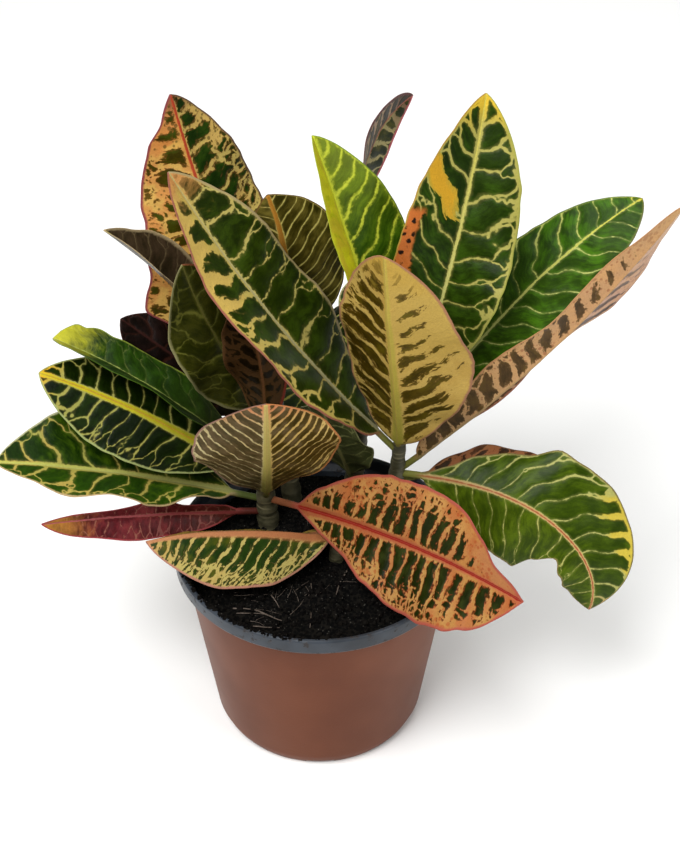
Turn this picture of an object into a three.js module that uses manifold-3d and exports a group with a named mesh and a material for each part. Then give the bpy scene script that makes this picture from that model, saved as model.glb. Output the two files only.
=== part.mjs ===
// A potted croton: five rooted cuttings with broad leathery leaves in a round plastic nursery pot.
// Millimetres, +Z up. The origin is the middle of the pot's underside, and -Y is the front.
import * as THREE from "three";
import { mergeVertices } from "three/addons/utils/BufferGeometryUtils.js";
import Module from "manifold-3d";

const wasm = await Module();
wasm.setup();

// ---- pot -------------------------------------------------------------------------------------
const POT_HEIGHT = 98;
const RIM_RADIUS = 65; // outside of the rim band
const RIM_BAND = 7.5; // height of the thicker band at the top
const BODY_TOP_RADIUS = 60.7; // outside, just under the rim band
const BODY_FOOT_RADIUS = 49; // outside, where the lower edge is bevelled
const FOOT_RADIUS = 45.5; // outside of the ring that the pot stands on
const BEVEL_HEIGHT = 7;
const WALL = 1.4;
const FLOOR = 1.6;
const CHANNEL_HEIGHT = 3.2; // the ring of the floor that is raised for the drain holes
const CHANNEL_INNER = 20;
const CHANNEL_OUTER = 41;
const DRAIN_HOLES = 8;
const DRAIN_RADIUS = 4;
const FOOT_NOTCHES = 8;
const NOTCH_WIDTH = 13;
const NOTCH_HEIGHT = 2.2;
const SIDES = 36;

// ---- soil ------------------------------------------------------------------------------------
const SOIL_TOP = 88;
const SOIL_BUMP = 1.2;
const SOIL_SIDES = 24;
const GAP = 0.3; // between soil, pot, stems and leaves
const ROOTED = 42; // how far the stems go down into the soil

// ---- stems: foot and top as x, y, z, with the radius at each --------------------------------
const STEM_SIDES = 12;
const STEMS = {
  front_left: { foot: [-23, 24, 88], top: [-25, 17, 136], radius: [5.2, 2.8] },
  right: { foot: [34, 18, 88], top: [37, 8, 157], radius: [4.8, 2.6] },
  back_left: { foot: [-12, 42, 88], top: [-22, 46, 172], radius: [4.8, 2.5] },
  back_right: { foot: [16, 40, 88], top: [24, 46, 165], radius: [4.8, 2.5] },
  middle: { foot: [8, -2, 88], top: [9, -1, 102], radius: [3.4, 2.8] },
};

// ---- leaves ----------------------------------------------------------------------------------
// z        height on the stem where the stalk starts
// heading  degrees round from +X, at the stem; sweep turns it towards the tip
// rise     degrees above level, at the stem; bend is added towards the tip
// roll     degrees that the blade is turned about its midrib
// stalk, blade, width   millimetres
// fold     degrees that each half is lifted from the midrib
// wave     height of the waved margin
// waves    how many waves the margin makes along the blade
// widest   share of the blade's length at which it is widest; point shapes its ends
// margins  for the two halves, shares along the blade with the factor on the half width there
// look     a name in LEAF_COLOURS
const EVEN = [[0, 1], [1, 1]];
const LEAVES = [
  { stem: "back_left", z: 155, heading: 130, rise: 58, bend: 16, sweep: 12, roll: -12,
    stalk: 16, blade: 120, width: 62, fold: -12, wave: 2, widest: 0.42, look: "cream_orange",
    margins: [[[0, 1], [0.5, 1.05], [0.75, 1.12], [0.9, 1.15], [1, 1.2]],
      [[0, 1], [0.12, 1.1], [0.28, 1.38], [0.42, 1.1], [0.6, 1], [0.85, 1], [0.92, 0.72], [1, 0.65]]] },
  { stem: "back_left", z: 143, heading: 172, rise: 58, bend: -9, sweep: 40, roll: 150, bendPower: 1.72,
    stalk: 16, blade: 109, width: 29, fold: -45, wave: 1, widest: 0.65, look: "bronze",
    margins: [EVEN,
      [[0, 1], [0.8, 1], [0.9, 0.8], [1, 0.7]]] },
  { stem: "back_left", z: 132, heading: 208, rise: 59, bend: 18, sweep: -6, roll: -72,
    stalk: 14, blade: 93, width: 45, fold: 5, wave: 2, look: "olive" },
  { stem: "back_left", z: 126, heading: 163, rise: 33, roll: -30,
    stalk: 16, blade: 74, width: 38, wave: 2, look: "maroon" },
  { stem: "back_left", z: 160, heading: 335, rise: 72, bend: 42, roll: -50,
    stalk: 12, blade: 82, width: 40, fold: 10, wave: 1, look: "brown",
    margins: [EVEN,
      [[0, 1], [0.3, 1.4], [0.9, 1.5], [1, 1.2]]] },
  { stem: "back_left", z: 154, heading: 8, rise: 54, bend: -20, roll: -10,
    stalk: 12, blade: 40, width: 26, wave: 1, look: "dark_green" },
  { stem: "back_left", z: 138, heading: 96, rise: 36, bend: -28, sweep: 10, roll: 6,
    stalk: 14, blade: 94, width: 44, fold: 10, wave: 2, look: "dark_green" },
  { stem: "back_left", z: 122, heading: 134, rise: 20, bend: -36, sweep: -6, roll: -12,
    stalk: 15, blade: 78, width: 40, fold: 6, wave: 2, look: "dark_green" },
  { stem: "back_left", z: 112, heading: 98, rise: 6, bend: -34, roll: 9,
    stalk: 14, blade: 72, width: 42, fold: 12, wave: 3, look: "olive" },
  { stem: "right", z: 140, heading: 187, rise: 52, bend: 8, sweep: -25, roll: -12,
    stalk: 16, blade: 152, width: 60, fold: 12, wave: 2, widest: 0.49, look: "dark_green" },
  { stem: "right", z: 141, heading: 261, rise: 67, bend: 14, sweep: -13, roll: -15,
    stalk: 8, blade: 124, width: 66, fold: 22, wave: 2, widest: 0.48, look: "golden" },
  { stem: "right", z: 128, heading: 348, rise: 46, bend: 7, sweep: 31, roll: -62,
    stalk: 14, blade: 162, width: 32, fold: 14, wave: 2, widest: 0.4, look: "bronze",
    margins: [[[0, 1], [0.7, 1], [0.85, 1.25], [1, 1.6]],
      [[0, 0.2], [0.45, 0.2], [0.55, 0.6], [0.68, 1.6], [0.82, 2.6], [1, 3.2]]] },
  { stem: "right", z: 147, heading: 27, rise: 50, bend: -40, sweep: 8, roll: 6,
    stalk: 14, blade: 141, width: 48, fold: -1, wave: 1, widest: 0.57, look: "fresh_green" },
  { stem: "right", z: 151, heading: 30, rise: 72, bend: -10, sweep: 43, roll: 31,
    stalk: 22, blade: 132, width: 48, fold: 17, wave: 2, widest: 0.48, look: "grey_green",
    margins: [[[0, 1], [0.5, 1.05], [1, 1.08]],
      [[0, 1], [0.5, 1.06], [1, 1.1]]] },
  { stem: "right", z: 150, heading: 130, rise: 70, bend: -12, roll: 12,
    stalk: 14, blade: 124, width: 49, fold: 30, wave: 1, look: "yellow_green",
    margins: [[[0, 1], [0.5, 1.12], [1, 1.12]],
      EVEN] },
  { stem: "right", z: 127, heading: 336, rise: 10, bend: -115, sweep: -3, roll: 55, bendPower: 2,
    stalk: 12, blade: 115, width: 56, fold: -14, wave: 4, look: "fresh_green",
    margins: [[[0, 1], [0.55, 1.02], [0.62, 0.7], [0.68, 0.42], [0.76, 0.6], [0.88, 0.8], [1, 1]],
      [[0, 0.4], [0.1, 0.5], [0.2, 0.72], [0.36, 0.8], [0.45, 1.05], [0.9, 1.12], [1, 1.1]]] },
  { stem: "right", z: 122, heading: 8, rise: 6, bend: -20,
    stalk: 14, blade: 62, width: 30, wave: 1, look: "brown" },
  { stem: "front_left", z: 130, heading: 55, rise: 74, sweep: 130, roll: -45,
    stalk: 14, blade: 74, width: 30, fold: 8, wave: 2, look: "olive" },
  { stem: "front_left", z: 125, heading: 166, rise: 41, bend: -24, roll: 15,
    stalk: 14, blade: 97, width: 36, fold: 20, wave: 1, look: "fresh_green",
    margins: [[[0, 1], [0.75, 1], [0.88, 1.5], [0.96, 2.4], [1, 3]],
      [[0, 1], [0.75, 1], [0.88, 1.5], [0.96, 2.4], [1, 3]]] },
  { stem: "front_left", z: 115, heading: 174, rise: 38, bend: -20, roll: -30,
    stalk: 16, blade: 98, width: 46, fold: -12, wave: 1, look: "dark_green" },
  { stem: "front_left", z: 104, heading: 185, rise: 20, bend: -12, roll: -10,
    stalk: 16, blade: 108, width: 50, fold: 19, wave: 3, look: "grey_green",
    margins: [[[0, 1], [0.5, 1], [0.7, 1.25], [1, 1.2]],
      [[0, 1], [0.2, 0.7], [0.3, 0.9], [0.4, 1], [0.6, 0.88], [0.75, 1], [1, 1]]] },
  { stem: "front_left", z: 96, heading: 198, rise: 15, bend: -8, roll: 100,
    stalk: 14, blade: 92, width: 24, fold: -30, wave: 1, look: "maroon",
    margins: [[[0, 1], [0.7, 0.92], [1, 1]],
      [[0, 1], [0.3, 0.7], [0.42, 1], [0.6, 0.6], [1, 0.6]]] },
  { stem: "front_left", z: 105, heading: 274, rise: 52, bend: 30,
    stalk: 12, blade: 84, width: 64, fold: 5, wave: 2, widest: 0.6, look: "golden" },
  { stem: "front_left", z: 105, heading: 324, rise: 13, bend: -10, sweep: -10, roll: 58,
    stalk: 17, blade: 128, width: 58, fold: 14, wave: 2, widest: 0.53, point: 1, look: "orange",
    margins: [[[0, 1], [0.1, 0.8], [0.28, 0.72], [0.4, 0.85], [0.55, 1],
      [0.7, 1.12], [0.82, 1.35], [0.92, 1.7], [1, 2]],
      [[0, 1], [0.06, 1.35], [0.15, 1.1], [0.5, 1], [0.7, 1], [0.8, 0.85], [0.88, 0.6], [1, 0.8]]] },
  { stem: "back_right", z: 160, heading: 120, rise: 70, bend: -64, sweep: -75, roll: 92, bendPower: 1.6,
    stalk: 14, blade: 125, width: 32, fold: 9, wave: 1, widest: 0.58, look: "brown" },
  { stem: "back_right", z: 136, heading: 78, rise: 32, bend: -34, sweep: -8, roll: -8,
    stalk: 14, blade: 90, width: 46, fold: 8, wave: 2, look: "dark_green" },
  { stem: "back_right", z: 128, heading: 48, rise: 26, bend: -30, sweep: 6, roll: 12,
    stalk: 16, blade: 80, width: 40, fold: 14, wave: 3, look: "fresh_green" },
  { stem: "back_right", z: 116, heading: 70, rise: 6, bend: -32, sweep: 8, roll: -6,
    stalk: 14, blade: 76, width: 42, fold: 8, wave: 2, look: "olive" },
  { stem: "back_right", z: 99, heading: 238, rise: 64, bend: 4,
    stalk: 8, blade: 62, width: 38, wave: 2, look: "dark_green" },
  { stem: "middle", z: 100, heading: 191, rise: 20, bend: -26, roll: 4,
    stalk: 3, blade: 85, width: 54, fold: -36, wave: 1, look: "orange" },
];
const USUAL = { bend: 0, sweep: 0, roll: 0, fold: 0, wave: 0, waves: 2.5, widest: 0.52,
  point: 0.75, bendPower: 1.4, margins: [EVEN, EVEN] };
const BLADE_THICKNESS = 0.8;
const RIB_DEPTH = 0.9; // how far the midrib stands out of the underside, near the stalk
const STALK_HALF_WIDTH = 1.6;
const STALK_THICKNESS = 2.6;
const TIP_HALF_WIDTH = 0.5;
const STALK_STEPS = 3;
const BLADE_STEPS = 11;
const ACROSS = 4;
const CURVE_STEPS = 96; // pieces in which a midrib's curve is added up

const rad = THREE.MathUtils.degToRad;
const mix = THREE.MathUtils.lerp;

// A closed geometry as a solid; its faces are turned outwards.
function solidOf(geometry) {
  const bare = geometry.clone();
  bare.deleteAttribute("normal");
  bare.deleteAttribute("uv");
  const merged = mergeVertices(bare, 1e-4);
  const triVerts = new Uint32Array(merged.index.array);
  const vertProperties = new Float32Array(merged.attributes.position.array);
  const made = new wasm.Manifold(new wasm.Mesh({ numProp: 3, vertProperties, triVerts }));
  if (made.volume() > 0) return made;
  for (let i = 0; i < triVerts.length; i += 3) {
    [triVerts[i + 1], triVerts[i + 2]] = [triVerts[i + 2], triVerts[i + 1]];
  }
  return new wasm.Manifold(new wasm.Mesh({ numProp: 3, vertProperties, triVerts }));
}

// The largest body of a solid, without scraps left by a cut.
function largestOf(solid) {
  return solid.decompose().reduce((a, b) => (b.volume() > a.volume() ? b : a));
}

function geometryOf(solid) {
  const mesh = solid.getMesh();
  const geometry = new THREE.BufferGeometry();
  geometry.setAttribute("position", new THREE.BufferAttribute(mesh.vertProperties, 3));
  geometry.setIndex(new THREE.BufferAttribute(mesh.triVerts, 1));
  const flat = geometry.toNonIndexed();
  flat.computeVertexNormals();
  return flat;
}

// ---- stems -----------------------------------------------------------------------------------
function stemPoint(stem, z) {
  const share = (z - stem.foot[2]) / (stem.top[2] - stem.foot[2]);
  return new THREE.Vector3(
    mix(stem.foot[0], stem.top[0], share),
    mix(stem.foot[1], stem.top[1], share),
    z,
  );
}

// A round stem from its rooted end to a blunt growing tip, made wider by `extra` all round.
function stemSolid(stem, extra) {
  const bottom = stem.foot[2] - ROOTED - extra;
  const top = stem.top[2] + 5 + extra;
  const rows = 8;
  const geometry = new THREE.CylinderGeometry(1, 1, 1, STEM_SIDES, rows);
  geometry.rotateX(Math.PI / 2);
  const position = geometry.attributes.position;
  for (let i = 0; i < position.count; i++) {
    const row = Math.round((position.getZ(i) + 0.5) * rows);
    const z = row === rows ? top : mix(bottom, stem.top[2], row / (rows - 1));
    const share = THREE.MathUtils.clamp((z - stem.foot[2]) / (stem.top[2] - stem.foot[2]), 0, 1);
    const blunt = row === rows ? 0.45 : 1;
    const radius = mix(stem.radius[0], stem.radius[1], share) * blunt + extra;
    const centre = stemPoint(stem, z);
    const x = centre.x + position.getX(i) * radius;
    const y = centre.y + position.getY(i) * radius;
    position.setXYZ(i, x, y, z);
  }
  return solidOf(geometry);
}

// ---- leaves ----------------------------------------------------------------------------------
// Direction of the midrib, and the blade's side and upward directions, at share t of its length.
function directions(leaf, t) {
  const rise = rad(leaf.rise + leaf.bend * t ** leaf.bendPower);
  const heading = rad(leaf.heading + leaf.sweep * t);
  const roll = rad(leaf.roll);
  const along = new THREE.Vector3(
    Math.cos(rise) * Math.cos(heading),
    Math.cos(rise) * Math.sin(heading),
    Math.sin(rise),
  );
  const level = new THREE.Vector3(-Math.sin(heading), Math.cos(heading), 0);
  const normal = along.clone().cross(level);
  const side = level.clone().multiplyScalar(Math.cos(roll)).addScaledVector(normal, Math.sin(roll));
  const up = normal.multiplyScalar(Math.cos(roll)).addScaledVector(level, -Math.sin(roll));
  return { along, side, up };
}

// Points along the midrib, added up from the stem in short straight pieces.
function midrib(leaf) {
  const length = leaf.stalk + leaf.blade;
  const points = [stemPoint(STEMS[leaf.stem], leaf.z)];
  for (let i = 0; i < CURVE_STEPS; i++) {
    const { along } = directions(leaf, (i + 0.5) / CURVE_STEPS);
    points.push(points[i].clone().addScaledVector(along, length / CURVE_STEPS));
  }
  return points;
}

// Half width of the blade as a share of its greatest half width, at share b from its base.
function outline(leaf, b) {
  const q = leaf.point;
  const p = (q * leaf.widest) / (1 - leaf.widest);
  return (b ** p * (1 - b) ** q) / (leaf.widest ** p * (1 - leaf.widest) ** q);
}

// Factor on the half width at share b from the base, read between the knots of a margin.
function marginFactor(knots, b) {
  const next = Math.max(1, knots.findIndex(([at]) => at >= b));
  const [from, low] = knots[next - 1];
  const [to, high] = knots[next];
  const share = (b - from) / (to - from);
  return mix(low, high, share * share * (3 - 2 * share));
}

// A sheet of rows along the leaf and columns across it, thickened into one closed body. Both
// faces are split into triangles alike.
function leafSolid(leaf) {
  const rows = STALK_STEPS + BLADE_STEPS;
  const sheet = new THREE.PlaneGeometry(2, 1, ACROSS, rows);
  const length = leaf.stalk + leaf.blade;
  const rib = midrib(leaf);
  const count = sheet.attributes.position.count;
  const points = new Float32Array(count * 6);
  for (let i = 0; i < count; i++) {
    const v = sheet.attributes.position.getX(i);
    const row = Math.round((sheet.attributes.position.getY(i) + 0.5) * rows);
    const b = Math.max(0, (row - STALK_STEPS) / BLADE_STEPS);
    const distance = row < STALK_STEPS
      ? (leaf.stalk * row) / STALK_STEPS
      : leaf.stalk + leaf.blade * b;
    const t = distance / length;
    const step = Math.min(Math.floor(t * CURVE_STEPS), CURVE_STEPS - 1);
    const centre = rib[step].clone().lerp(rib[step + 1], t * CURVE_STEPS - step);
    const { side, up } = directions(leaf, t);

    const onStalk = Math.max(0, 1 - b * 8);
    const least = mix(TIP_HALF_WIDTH, STALK_HALF_WIDTH, onStalk);
    const margin = marginFactor(leaf.margins[v < 0 ? 0 : 1], b);
    const half = Math.max((leaf.width / 2) * outline(leaf, b) * margin, least);
    const a = Math.abs(v);
    const fold = rad(leaf.fold) * (1 - onStalk);
    const phase = v < 0 ? 2.1 : 0;
    const ends = Math.min(1, 4 * b * (1 - b));
    const wave = leaf.wave * Math.sin(2 * Math.PI * leaf.waves * b + phase) * a * a * ends;
    const lift = a * half * Math.sin(fold) + wave;
    const middle = centre
      .addScaledVector(side, v * half * Math.cos(fold))
      .addScaledVector(up, lift);

    const ribHere = (1 - a) ** 2 * RIB_DEPTH * (1 - 0.7 * b);
    const stalkHere = (STALK_THICKNESS - BLADE_THICKNESS) * (1 - 0.6 * a) * onStalk;
    const above = BLADE_THICKNESS / 2 + stalkHere / 2;
    const below = above + (row > STALK_STEPS ? ribHere : 0);
    const upper = middle.clone().addScaledVector(up, above);
    const lower = middle.clone().addScaledVector(up, -below);
    upper.toArray(points, i * 3);
    lower.toArray(points, (count + i) * 3);
  }

  const faces = Array.from(sheet.index.array);
  const edges = new Map();
  for (let i = 0; i < faces.length; i += 3) {
    for (let k = 0; k < 3; k++) {
      const from = faces[i + k];
      const to = faces[i + ((k + 1) % 3)];
      if (!edges.delete(to + " " + from)) edges.set(from + " " + to, [from, to]);
    }
  }
  const index = [...faces];
  for (let i = 0; i < faces.length; i += 3) {
    index.push(count + faces[i], count + faces[i + 2], count + faces[i + 1]);
  }
  for (const [from, to] of edges.values()) {
    index.push(from, count + from, count + to, from, count + to, to);
  }
  const body = new THREE.BufferGeometry();
  body.setAttribute("position", new THREE.BufferAttribute(points, 3));
  body.setIndex(index);
  return solidOf(body);
}

// ---- pot and soil ----------------------------------------------------------------------------
// Inside radius of the pot below the rim band at height z.
function insideRadius(z) {
  const share = (z - BEVEL_HEIGHT) / (POT_HEIGHT - RIM_BAND - BEVEL_HEIGHT);
  return mix(BODY_FOOT_RADIUS, BODY_TOP_RADIUS, Math.max(0, share)) - WALL;
}

function potSolid() {
  const shoulder = POT_HEIGHT - RIM_BAND;
  const bevelInside = BEVEL_HEIGHT - 1;
  const profile = [
    [0, 0],
    [CHANNEL_INNER, 0],
    [CHANNEL_INNER + 1, CHANNEL_HEIGHT],
    [CHANNEL_OUTER - 1, CHANNEL_HEIGHT],
    [CHANNEL_OUTER, 0],
    [FOOT_RADIUS, 0],
    [FOOT_RADIUS + 1.6, 2.4],
    [BODY_FOOT_RADIUS, BEVEL_HEIGHT],
    [BODY_TOP_RADIUS, shoulder - 1],
    [RIM_RADIUS - 0.6, shoulder],
    [RIM_RADIUS, shoulder + 1],
    [RIM_RADIUS, POT_HEIGHT - 0.8],
    [RIM_RADIUS - 0.6, POT_HEIGHT],
    [RIM_RADIUS - 1.8, POT_HEIGHT],
    [RIM_RADIUS - 2.4, POT_HEIGHT - 0.8],
    [RIM_RADIUS - 2.8, shoulder + 1.4],
    [insideRadius(shoulder - 1), shoulder - 1],
    [insideRadius(bevelInside + 4), bevelInside + 4],
    [FOOT_RADIUS - 0.5, CHANNEL_HEIGHT + FLOOR + 0.2],
    [CHANNEL_INNER - 0.5, CHANNEL_HEIGHT + FLOOR],
    [CHANNEL_INNER - 1.5, FLOOR],
    [0, FLOOR],
  ].map(([r, z]) => new THREE.Vector2(r, z));
  const lathe = new THREE.LatheGeometry(profile, SIDES);
  lathe.rotateX(Math.PI / 2);
  let pot = solidOf(lathe);

  for (let i = 0; i < DRAIN_HOLES; i++) {
    const angle = (2 * Math.PI * (i + 0.5)) / DRAIN_HOLES;
    const radius = (CHANNEL_INNER + CHANNEL_OUTER) / 2;
    const hole = new THREE.CylinderGeometry(DRAIN_RADIUS, DRAIN_RADIUS, 20, 16);
    hole.rotateX(Math.PI / 2);
    hole.translate(radius * Math.cos(angle), radius * Math.sin(angle), 0);
    pot = pot.subtract(solidOf(hole));
  }
  for (let i = 0; i < FOOT_NOTCHES; i++) {
    const notch = new THREE.BoxGeometry(12, NOTCH_WIDTH, 2 * NOTCH_HEIGHT);
    notch.translate(CHANNEL_OUTER + 5, 0, 0);
    notch.rotateZ((2 * Math.PI * i) / FOOT_NOTCHES);
    pot = pot.subtract(solidOf(notch));
  }
  return pot;
}

function soilSolid(holes) {
  const bottom = CHANNEL_HEIGHT + FLOOR + 0.4;
  const shoulder = POT_HEIGHT - RIM_BAND;
  const inside = (z) => insideRadius(z) - GAP - 0.1;
  const profile = [
    [0, FLOOR + GAP],
    [CHANNEL_INNER - 2.4, FLOOR + GAP],
    [CHANNEL_INNER - 1.4, bottom],
    [FOOT_RADIUS - 2, bottom + 0.2],
    [inside(bottom + 6), bottom + 6],
    [inside(shoulder / 2), shoulder / 2],
    [inside(SOIL_TOP - 1), SOIL_TOP - 1],
    [54, SOIL_TOP],
    [46, SOIL_TOP],
    [37, SOIL_TOP],
    [28, SOIL_TOP],
    [18, SOIL_TOP],
    [9, SOIL_TOP],
    [0, SOIL_TOP],
  ].map(([r, z]) => new THREE.Vector2(r, z));
  const lathe = new THREE.LatheGeometry(profile, SOIL_SIDES);
  lathe.rotateX(Math.PI / 2);
  const position = lathe.attributes.position;
  for (let i = 0; i < position.count; i++) {
    const x = position.getX(i);
    const y = position.getY(i);
    const z = position.getZ(i);
    if (z === SOIL_TOP) {
      const bump = Math.sin(x * 0.21 + 1) * Math.cos(y * 0.17) + 0.5 * Math.sin(x * 0.1 - y * 0.33);
      position.setZ(i, z + SOIL_BUMP * bump);
    }
  }
  return holes.reduce((soil, hole) => soil.subtract(hole), solidOf(lathe));
}

// ---- the plant in its pot --------------------------------------------------------------------
const TERRACOTTA = { color: 0x80503a, roughness: 0.55, metalness: 0 };
const PEAT = { color: 0x231a14, roughness: 0.95, metalness: 0 };
const BARK = { color: 0x3c3d22, roughness: 0.7, metalness: 0 };
const LEAF_COLOURS = {
  cream_orange: 0xb98a3a,
  orange: 0xa8642c,
  golden: 0x9c8238,
  yellow_green: 0x9ea31f,
  fresh_green: 0x4c6012,
  grey_green: 0x566430,
  dark_green: 0x33430f,
  olive: 0x4a4718,
  bronze: 0x8a7046,
  brown: 0x5c431c,
  maroon: 0x5a2a2a,
};
const LEAF_ROUGHNESS = 0.38;

const plant = new THREE.Group();
plant.name = "potted_croton";

function place(name, solid, look) {
  const mesh = new THREE.Mesh(geometryOf(solid), new THREE.MeshStandardMaterial(look));
  mesh.name = name;
  plant.add(mesh);
}

place("pot", potSolid(), TERRACOTTA);
place("soil", soilSolid(Object.values(STEMS).map((stem) => stemSolid(stem, GAP))), PEAT);

for (const [name, stem] of Object.entries(STEMS)) {
  place(name + "_stem", stemSolid(stem, 0), BARK);
  const cut = stemSolid(stem, GAP);
  LEAVES.filter((row) => row.stem === name).forEach((row, i) => {
    const leaf = { ...USUAL, ...row };
    const look = { color: LEAF_COLOURS[leaf.look], roughness: LEAF_ROUGHNESS, metalness: 0 };
    place(name + "_leaf_" + (i + 1), largestOf(leafSolid(leaf).subtract(cut)), look);
  });
}

export default plant;
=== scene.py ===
"""A potted croton: five rooted cuttings with broad leathery leaves in a round nursery pot."""
import math
import random

import bmesh
import bpy
from mathutils import Matrix, Vector, noise


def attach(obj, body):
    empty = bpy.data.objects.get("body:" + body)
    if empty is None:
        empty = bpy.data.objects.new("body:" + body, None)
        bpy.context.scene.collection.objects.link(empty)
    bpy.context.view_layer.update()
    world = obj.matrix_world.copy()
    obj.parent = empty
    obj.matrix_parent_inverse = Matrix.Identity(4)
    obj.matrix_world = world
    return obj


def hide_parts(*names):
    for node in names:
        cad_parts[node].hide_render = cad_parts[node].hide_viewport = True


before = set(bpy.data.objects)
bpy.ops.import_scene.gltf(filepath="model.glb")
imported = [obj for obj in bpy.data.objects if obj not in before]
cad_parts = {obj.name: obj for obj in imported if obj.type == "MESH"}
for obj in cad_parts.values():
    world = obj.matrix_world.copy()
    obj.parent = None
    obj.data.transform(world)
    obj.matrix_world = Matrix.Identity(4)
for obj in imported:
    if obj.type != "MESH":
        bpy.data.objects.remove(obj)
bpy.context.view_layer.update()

MM = 0.001
TURN = 2 * math.pi


def mix(first, second, share):
    return first + (second - first) * share


def smooth(low, high, value):
    share = min(1.0, max(0.0, (value - low) / (high - low)))
    return share * share * (3 - 2 * share)


def colour(text):
    """A colour given as six hex digits, as the numbers that a shader works with."""
    parts = [int(text[i:i + 2], 16) / 255 for i in (0, 2, 4)]
    return [c / 12.92 if c < 0.04045 else ((c + 0.055) / 1.055) ** 2.4 for c in parts] + [1.0]


# ---- measures of the plant, in millimetres, as its solids have them -------------------------------

STEMS = {
    "front_left": dict(foot=(-23, 24, 88), top=(-25, 17, 136), radius=(5.2, 2.8)),
    "right": dict(foot=(34, 18, 88), top=(37, 8, 157), radius=(4.8, 2.6)),
    "back_left": dict(foot=(-12, 42, 88), top=(-22, 46, 172), radius=(4.8, 2.5)),
    "back_right": dict(foot=(16, 40, 88), top=(24, 46, 165), radius=(4.8, 2.5)),
    "middle": dict(foot=(8, -2, 88), top=(9, -1, 102), radius=(3.4, 2.8)),
}

SOIL_LEVEL = 88.0  # height of the peat's surface, and of the shoots' feet
PEAT_EDGE = 87.6  # the same beside the wall
RIM_TOP = 98.0
RIM_FOOT = 89.5  # height at which the wall meets the rim band
WALL = 1.4  # thickness of the pot's wall

# height on the stem, heading and rise of the midrib, then bend, sweep, roll, stalk, blade, width,
# fold and wave, and what differs from USUAL
LEAVES = {
    "back_left_leaf_1": (155, 130, 58, 16, 12, -12, 16, 120, 62, -12, 2, dict(widest=0.42)),
    "back_left_leaf_2": (143, 172, 58, -9, 40, 150, 16, 109, 29, -45, 1,
                         dict(widest=0.65, bend_power=1.72)),
    "back_left_leaf_3": (132, 208, 59, 18, -6, -72, 14, 93, 45, 5, 2, {}),
    "back_left_leaf_4": (126, 163, 33, 0, 0, -30, 16, 74, 38, 0, 2, {}),
    "back_left_leaf_5": (160, 335, 72, 42, 0, -50, 12, 82, 40, 10, 1, {}),
    "back_left_leaf_6": (154, 8, 54, -20, 0, -10, 12, 40, 26, 0, 1, {}),
    "back_left_leaf_7": (138, 96, 36, -28, 10, 6, 14, 94, 44, 10, 2, {}),
    "back_left_leaf_8": (122, 134, 20, -36, -6, -12, 15, 78, 40, 6, 2, {}),
    "back_left_leaf_9": (112, 98, 6, -34, 0, 9, 14, 72, 42, 12, 3, {}),
    "right_leaf_1": (140, 187, 52, 8, -25, -12, 16, 152, 60, 12, 2, dict(widest=0.49)),
    "right_leaf_2": (141, 261, 67, 14, -13, -15, 8, 124, 66, 22, 2, dict(widest=0.48)),
    "right_leaf_3": (128, 348, 46, 7, 31, -62, 14, 162, 32, 14, 2, dict(widest=0.4)),
    "right_leaf_4": (147, 27, 50, -40, 8, 6, 14, 141, 48, -1, 1, dict(widest=0.57)),
    "right_leaf_5": (151, 30, 72, -10, 43, 31, 22, 132, 48, 17, 2, dict(widest=0.48)),
    "right_leaf_6": (150, 130, 70, -12, 0, 12, 14, 124, 49, 30, 1, {}),
    "right_leaf_7": (127, 336, 10, -115, -3, 55, 12, 115, 56, -14, 4, dict(bend_power=2)),
    "right_leaf_8": (122, 8, 6, -20, 0, 0, 14, 62, 30, 0, 1, {}),
    "front_left_leaf_1": (130, 55, 74, 0, 130, -45, 14, 74, 30, 8, 2, {}),
    "front_left_leaf_2": (125, 166, 41, -24, 0, 15, 14, 97, 36, 20, 1, {}),
    "front_left_leaf_3": (115, 174, 38, -20, 0, -30, 16, 98, 46, -12, 1, {}),
    "front_left_leaf_4": (104, 185, 20, -12, 0, -10, 16, 108, 50, 19, 3, {}),
    "front_left_leaf_5": (96, 198, 15, -8, 0, 100, 14, 92, 24, -30, 1, {}),
    "front_left_leaf_6": (105, 274, 52, 30, 0, 0, 12, 84, 64, 5, 2, dict(widest=0.6)),
    "front_left_leaf_7": (105, 324, 13, -10, -10, 58, 17, 128, 58, 14, 2,
                          dict(widest=0.53, point=1)),
    "back_right_leaf_1": (160, 120, 70, -64, -75, 92, 14, 125, 32, 9, 1,
                          dict(widest=0.58, bend_power=1.6)),
    "back_right_leaf_2": (136, 78, 32, -34, -8, -8, 14, 90, 46, 8, 2, {}),
    "back_right_leaf_3": (128, 48, 26, -30, 6, 12, 16, 80, 40, 14, 3, {}),
    "back_right_leaf_4": (116, 70, 6, -32, 8, -6, 14, 76, 42, 8, 2, {}),
    "back_right_leaf_5": (99, 238, 64, 4, 0, 0, 8, 62, 38, 0, 2, {}),
    "middle_leaf_1": (100, 191, 20, -26, 0, 4, 3, 85, 54, -36, 1, {}),
}
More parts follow.
